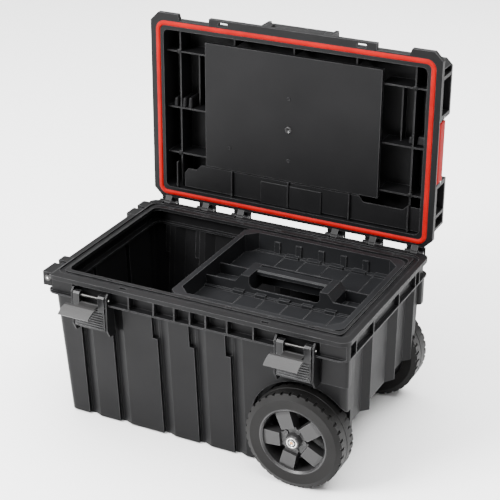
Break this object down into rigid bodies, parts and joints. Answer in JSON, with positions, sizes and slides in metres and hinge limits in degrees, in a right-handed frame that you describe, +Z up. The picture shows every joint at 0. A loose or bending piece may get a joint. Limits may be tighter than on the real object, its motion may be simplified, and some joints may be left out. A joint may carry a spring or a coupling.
{
  "type": "rolling tool chest",
  "caption": "Moulded rolling tool chest with a fluted tub, an open hinged lid with a red seal, toggle latches, a lift-out tray, a folding tow handle and large treaded wheels.",
  "frame": {"origin": "on the floor under the middle of the tub's seal, on the underside of the centre skid", "axes": "+X along the front towards the wheels, +Y from the front to the hinges, +Z up; the lid stands open at a right angle"},
  "size_m": [0.5976, 0.5098, 0.674],
  "materials": {
    "black_plastic": "fine grained matte",
    "tray_plastic": "fine grained matte",
    "wheel_plastic": "satin",
    "tyre": "matte",
    "steel": "bright zinc",
    "latch_grey": "satin",
    "bush_nylon": "satin",
    "red_seal": "satin",
    "red_clip": "glossy",
    "tow_metal": "satin black paint",
    "grip_rubber": "matte"
  },
  "bodies": {
    "tub": {"tub_shell": "black_plastic", "foot_pads": "black_plastic", "centre_skid": "black_plastic", "tub_rim": "black_plastic", "hinge_pins": "steel", "tray_rails": "black_plastic", "latch_bay_left": "black_plastic", "latch_bay_right": "black_plastic", "latch_pin_left": "steel", "latch_pin_right": "steel", "axle": "steel", "axle_brackets": "black_plastic", "axle_spacer_front": "steel", "axle_spacer_rear": "steel", "axle_cap_front": "steel", "axle_cap_rear": "steel", "tow_bracket_front": "black_plastic", "tow_bracket_rear": "black_plastic", "tow_bolt_front": "steel", "tow_bolt_rear": "steel"},
    "lid": {"lid_shell": "black_plastic", "lid_inner_plate": "black_plastic", "document_pocket": "black_plastic", "pocket_posts": "black_plastic", "lid_seal": "red_seal", "lid_handle_pins": "steel", "clip_pin_left": "steel", "clip_pin_right": "steel"},
    "lever_left": {"latch_lever_left": "black_plastic", "hook_pin_left": "steel"},
    "hook_left": {"latch_hook_left": "latch_grey"},
    "lever_right": {"latch_lever_right": "black_plastic", "hook_pin_right": "steel"},
    "hook_right": {"latch_hook_right": "latch_grey"},
    "wheel_front": {"tyre_front": "tyre", "wheel_rim_front": "wheel_plastic", "wheel_bolts_front": "wheel_plastic", "wheel_bush_front": "bush_nylon"},
    "wheel_rear": {"tyre_rear": "tyre", "wheel_rim_rear": "wheel_plastic", "wheel_bolts_rear": "wheel_plastic", "wheel_bush_rear": "bush_nylon"},
    "lid_bail": {"lid_handle": "black_plastic"},
    "clip_left": {"side_clip_left": "red_clip"},
    "clip_right": {"side_clip_right": "red_clip"},
    "tray": {"tray_body": "tray_plastic", "tray_grip": "tray_plastic"},
    "tow": {"tow_handle": "tow_metal", "tow_grip": "grip_rubber"}
  },
  "joints": [
    {"name": "lid_hinge", "type": "hinge", "parent": "tub", "child": "lid", "pos_m": [0, 0.1935, 0.29], "axis": [1, 0, 0], "range_deg": [0, 90]},
    {"name": "latch_lever_left_hinge", "type": "hinge", "parent": "tub", "child": "lever_left", "pos_m": [-0.1982, -0.194, 0.27], "axis": [-1, 0, 0], "range_deg": [0, 90]},
    {"name": "latch_hook_left_hinge", "type": "hinge", "parent": "lever_left", "child": "hook_left", "pos_m": [-0.1982, -0.196, 0.255], "axis": [1, 0, 0], "range_deg": [-60, 0]},
    {"name": "latch_lever_right_hinge", "type": "hinge", "parent": "tub", "child": "lever_right", "pos_m": [0.1982, -0.194, 0.27], "axis": [-1, 0, 0], "range_deg": [0, 90]},
    {"name": "latch_hook_right_hinge", "type": "hinge", "parent": "lever_right", "child": "hook_right", "pos_m": [0.1982, -0.196, 0.255], "axis": [1, 0, 0], "range_deg": [-60, 0]},
    {"name": "wheel_front_spin", "type": "hinge", "parent": "tub", "child": "wheel_front", "pos_m": [0.201, -0.1765, 0.09], "axis": [0, 1, 0], "continuous": true},
    {"name": "wheel_rear_spin", "type": "hinge", "parent": "tub", "child": "wheel_rear", "pos_m": [0.201, 0.1765, 0.09], "axis": [0, 1, 0], "continuous": true},
    {"name": "lid_handle_hinge", "type": "hinge", "parent": "lid", "child": "lid_bail", "pos_m": [0, 0.244, 0.663], "axis": [-1, 0, 0], "range_deg": [0, 100]},
    {"name": "clip_left_hinge", "type": "hinge", "parent": "lid", "child": "clip_left", "pos_m": [-0.2875, 0.23, 0.484], "axis": [0, 0, -1], "range_deg": [0, 100]},
    {"name": "clip_right_hinge", "type": "hinge", "parent": "lid", "child": "clip_right", "pos_m": [0.2875, 0.23, 0.484], "axis": [0, 0, 1], "range_deg": [0, 100]},
    {"name": "tow_handle_hinge", "type": "hinge", "parent": "tub", "child": "tow", "pos_m": [-0.29, 0, 0.284], "axis": [0, 1, 0], "range_deg": [0, 100]},
    {"name": "tray_lift", "type": "slide", "parent": "tub", "child": "tray", "axis": [0, 0, -1], "range_m": [-0.25, 0]}
  ]
}
